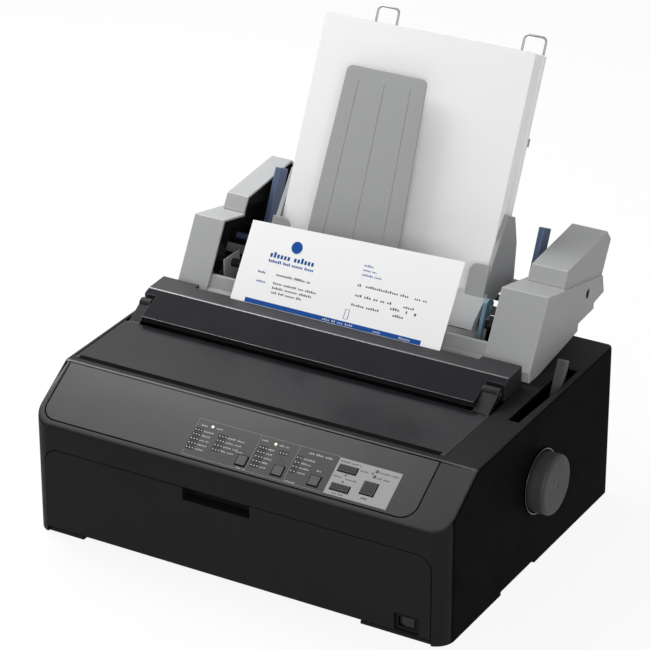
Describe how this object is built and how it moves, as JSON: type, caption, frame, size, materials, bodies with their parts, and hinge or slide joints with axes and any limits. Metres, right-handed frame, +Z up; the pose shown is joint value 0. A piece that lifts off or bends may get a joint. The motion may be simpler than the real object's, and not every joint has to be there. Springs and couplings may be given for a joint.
{
  "type": "dot matrix printer",
  "caption": "Desktop impact printer with fold-down front cover, hinged lid, sloping key panel, side knob and a cut-sheet feeder holding a leaning stack of paper.",
  "frame": {"origin": "middle of the overall footprint, knob and sheet supports included, on the desk under the rubber feet", "axes": "+X to the printer's right as seen from its front, +Y towards its rear, +Z up from the desk"},
  "size_m": [0.4306, 0.4079, 0.3903],
  "materials": {
    "case_plastic": "fine texture, satin",
    "lid_plastic": "smoky, glossy",
    "panel_plastic": "satin",
    "key_plastic": "satin",
    "key_grey_plastic": "satin",
    "switch_plastic": "glossy",
    "knob_plastic": "satin",
    "left_feeder_plastic": "satin",
    "right_feeder_plastic": "satin",
    "guide_plastic": "satin",
    "stacker_plastic": "satin",
    "lever_plastic": "satin",
    "lens_plastic": "glossy",
    "rubber": "matte",
    "frame_paint": "satin black",
    "ground_steel": "ground",
    "screw_steel": "zinc plated",
    "wire_steel": "bright",
    "motor_paint": "satin",
    "gear_plastic": "satin",
    "pinion_brass": "turned",
    "carriage_plastic": "satin",
    "head_metal": "cast, dark",
    "ribbon_fabric": "inked weave",
    "cable_film": "flexible flat",
    "circuit_board": "lacquered",
    "supply_metal": "satin",
    "socket_plastic": "satin",
    "connector_metal": "satin",
    "paper": "matte"
  },
  "bodies": {
    "printer": {"lower_case": "case_plastic", "upper_case": "case_plastic", "rubber_feet": "rubber", "case_screws": "screw_steel", "exit_cover": "case_plastic", "control_panel": "panel_plastic", "panel_board": "circuit_board", "indicator_lenses": "lens_plastic", "switch_housing": "switch_plastic", "chassis": "frame_paint", "carriage_rail": "ground_steel", "paper_guide": "frame_paint", "feed_motor": "motor_paint", "drive_belt": "rubber", "carriage_motor": "motor_paint", "ribbon_cartridge": "carriage_plastic", "ribbon": "ribbon_fabric", "head_cable": "cable_film", "main_board": "circuit_board", "power_supply": "supply_metal", "power_inlet": "socket_plastic", "interface_socket": "connector_metal", "feeder_left_side": "left_feeder_plastic", "feeder_right_side": "right_feeder_plastic", "feeder_crossbar": "right_feeder_plastic", "hopper_plate": "guide_plastic", "stacker_plate": "stacker_plastic", "guide_shaft": "ground_steel", "paper_stack": "paper", "printed_page": "paper"},
    "front_cover": {"front_cover": "case_plastic"},
    "lid": {"lid": "lid_plastic"},
    "power_rocker": {"power_rocker": "switch_plastic"},
    "font_button": {"font_button": "key_plastic"},
    "pitch_button": {"pitch_button": "key_plastic"},
    "tear_off_button": {"tear_off_button": "key_plastic"},
    "load_button": {"load_button": "key_grey_plastic"},
    "feed_button": {"feed_button": "key_grey_plastic"},
    "pause_button": {"pause_button": "key_grey_plastic"},
    "platen": {"platen_roller": "rubber", "platen_shaft": "ground_steel", "platen_gear": "gear_plastic", "feed_knob": "knob_plastic"},
    "motor_pinion": {"motor_pinion": "pinion_brass"},
    "lower_idler": {"lower_idler": "gear_plastic"},
    "upper_idler": {"upper_idler": "gear_plastic"},
    "pickup": {"pickup_shaft": "ground_steel", "pickup_rollers": "rubber"},
    "carriage": {"carriage": "carriage_plastic", "print_head": "head_metal"},
    "motor_pulley": {"motor_pulley": "pinion_brass"},
    "idler_pulley": {"idler_pulley": "gear_plastic"},
    "release_lever": {"release_lever": "knob_plastic"},
    "right_sheet_guide": {"right_sheet_guide": "guide_plastic"},
    "left_sheet_guide": {"left_sheet_guide": "guide_plastic"},
    "right_lock_lever": {"right_lock_lever": "lever_plastic"},
    "left_lock_lever": {"left_lock_lever": "lever_plastic"},
    "set_levers": {"set_levers": "lever_plastic"},
    "left_wire_support": {"left_wire_support": "wire_steel"},
    "right_wire_support": {"right_wire_support": "wire_steel"}
  },
  "joints": [
    {"name": "front_cover_hinge", "type": "hinge", "parent": "printer", "child": "front_cover", "pos_m": [-0.0083, -0.19788, 0.013], "axis": [1, 0, 0], "range_deg": [0, 90]},
    {"name": "lid_hinge", "type": "hinge", "parent": "printer", "child": "lid", "pos_m": [-0.0228, -0.03588, 0.157], "axis": [-1, 0, 0], "range_deg": [0, 80]},
    {"name": "power_switch", "type": "hinge", "parent": "printer", "child": "power_rocker", "pos_m": [0.1622, -0.19588, 0.016], "axis": [0, 0, 1], "range_deg": [0, 12]},
    {"name": "font_press", "type": "slide", "parent": "printer", "child": "font_button", "axis": [0, 0.5361, -0.8441], "range_m": [0, 0.0008], "stiffness_N_per_m": 600, "springref_m": -0.001},
    {"name": "pitch_press", "type": "slide", "parent": "printer", "child": "pitch_button", "axis": [0, 0.5361, -0.8441], "range_m": [0, 0.0008], "stiffness_N_per_m": 600, "springref_m": -0.001},
    {"name": "tear_off_press", "type": "slide", "parent": "printer", "child": "tear_off_button", "axis": [0, 0.5361, -0.8441], "range_m": [0, 0.0008], "stiffness_N_per_m": 600, "springref_m": -0.001},
    {"name": "load_press", "type": "slide", "parent": "printer", "child": "load_button", "axis": [0, 0.5361, -0.8441], "range_m": [0, 0.0008], "stiffness_N_per_m": 600, "springref_m": -0.001},
    {"name": "feed_press", "type": "slide", "parent": "printer", "child": "feed_button", "axis": [0, 0.5361, -0.8441], "range_m": [0, 0.0008], "stiffness_N_per_m": 600, "springref_m": -0.001},
    {"name": "pause_press", "type": "slide", "parent": "printer", "child": "pause_button", "axis": [0, 0.5361, -0.8441], "range_m": [0, 0.0008], "stiffness_N_per_m": 600, "springref_m": -0.001},
    {"name": "platen_turn", "type": "hinge", "parent": "printer", "child": "platen", "pos_m": [-0.0228, -0.03088, 0.08], "axis": [1, 0, 0], "continuous": true},
    {"name": "motor_spin", "type": "hinge", "parent": "printer", "child": "motor_pinion", "pos_m": [-0.1953, -0.00857, 0.05769], "axis": [1, 0, 0], "continuous": true},
    {"name": "lower_idler_spin", "type": "hinge", "parent": "printer", "child": "lower_idler", "pos_m": [-0.1853, 0.00144, 0.11249], "axis": [1, 0, 0], "continuous": true},
    {"name": "upper_idler_spin", "type": "hinge", "parent": "printer", "child": "upper_idler", "pos_m": [-0.1853, 0.03217, 0.14339], "axis": [1, 0, 0], "continuous": true},
    {"name": "pickup_spin", "type": "hinge", "parent": "printer", "child": "pickup", "pos_m": [-0.0228, 0.05761, 0.16895], "axis": [1, 0, 0], "continuous": true},
    {"name": "carriage_slide", "type": "slide", "parent": "printer", "child": "carriage", "axis": [1, 0, 0], "range_m": [-0.1, 0.095]},
    {"name": "motor_pulley_spin", "type": "hinge", "parent": "printer", "child": "motor_pulley", "pos_m": [-0.1563, -0.10888, 0.054], "axis": [0, 0, 1], "continuous": true},
    {"name": "idler_pulley_spin", "type": "hinge", "parent": "printer", "child": "idler_pulley", "pos_m": [0.1107, -0.10888, 0.054], "axis": [0, 0, 1], "continuous": true},
    {"name": "release_tilt", "type": "hinge", "parent": "printer", "child": "release_lever", "pos_m": [0.1857, 0.01012, 0.112], "axis": [1, 0, 0], "range_deg": [0, 30]},
    {"name": "right_guide_slide", "type": "slide", "parent": "printer", "child": "right_sheet_guide", "axis": [1, 0, 0], "range_m": [0, 0.02]},
    {"name": "left_guide_slide", "type": "slide", "parent": "printer", "child": "left_sheet_guide", "axis": [-1, 0, 0], "range_m": [0, 0.02]},
    {"name": "right_lock_turn", "type": "hinge", "parent": "right_sheet_guide", "child": "right_lock_lever", "pos_m": [0.09805, 0.0641, 0.18314], "axis": [1, 0, 0], "range_deg": [-20, 0]},
    {"name": "left_lock_turn", "type": "hinge", "parent": "left_sheet_guide", "child": "left_lock_lever", "pos_m": [-0.14365, 0.0641, 0.18314], "axis": [1, 0, 0], "range_deg": [-20, 0]},
    {"name": "set_lever_turn", "type": "hinge", "parent": "printer", "child": "set_levers", "pos_m": [-0.0228, 0.10555, 0.17268], "axis": [1, 0, 0], "range_deg": [-12, 0]},
    {"name": "left_wire_slide", "type": "slide", "parent": "printer", "child": "left_wire_support", "axis": [0, 0.4218, 0.9067], "range_m": [-0.045, 0]},
    {"name": "right_wire_slide", "type": "slide", "parent": "printer", "child": "right_wire_support", "axis": [0, 0.4218, 0.9067], "range_m": [-0.045, 0]}
  ],
  "couplings": [
    {"joint": "motor_spin", "follows": "platen_turn", "ratio": -3.2},
    {"joint": "lower_idler_spin", "follows": "platen_turn", "ratio": -1.1034},
    {"joint": "upper_idler_spin", "follows": "platen_turn", "ratio": 1.1034},
    {"joint": "pickup_spin", "follows": "platen_turn", "ratio": -1.6842},
    {"joint": "motor_pulley_spin", "follows": "carriage_slide", "rad_per_m": 144.93},
    {"joint": "idler_pulley_spin", "follows": "carriage_slide", "rad_per_m": 144.93}
  ]
}
